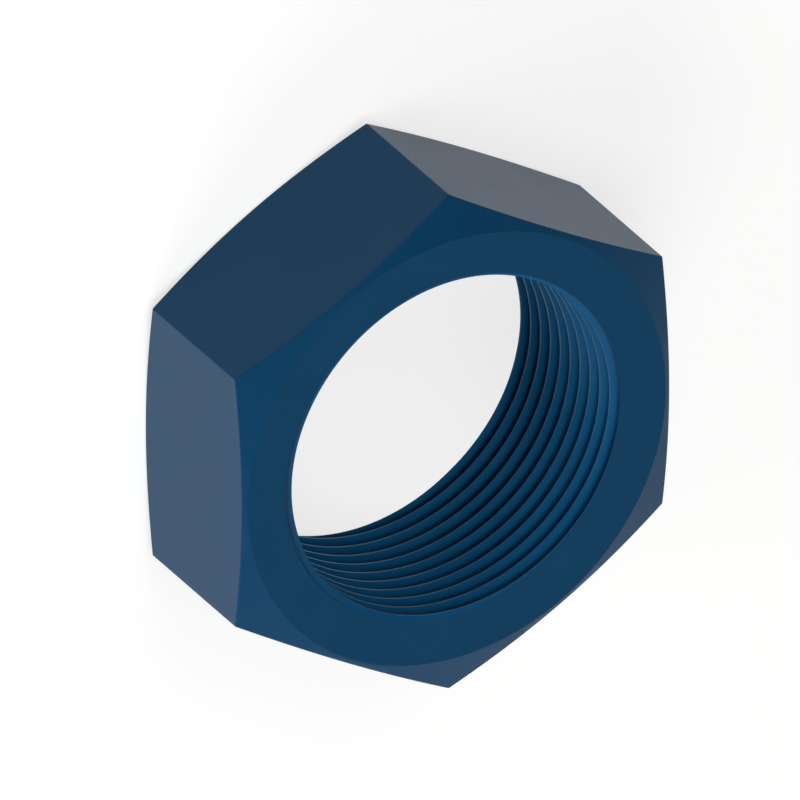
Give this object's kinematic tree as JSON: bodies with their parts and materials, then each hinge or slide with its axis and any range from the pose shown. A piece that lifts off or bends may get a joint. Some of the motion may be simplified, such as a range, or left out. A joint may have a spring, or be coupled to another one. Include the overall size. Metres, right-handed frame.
{
  "type": "hexagon lock nut",
  "caption": "Thin-walled hexagon nut with a fine through thread and both faces chamfered, used to lock a threaded part against another.",
  "frame": {"origin": "centre of the lower bearing face, on the thread axis", "axes": "+Z along the thread axis, out of the bearing face that the picture shows; two corners of the hexagon on the X axis, two flats facing +Y and -Y"},
  "size_m": [0.0578, 0.05, 0.02],
  "materials": {
    "coated_steel": "smooth satin dark blue coating on turned steel"
  },
  "bodies": {
    "root": {"lock_nut": "coated_steel"}
  },
  "joints": []
}
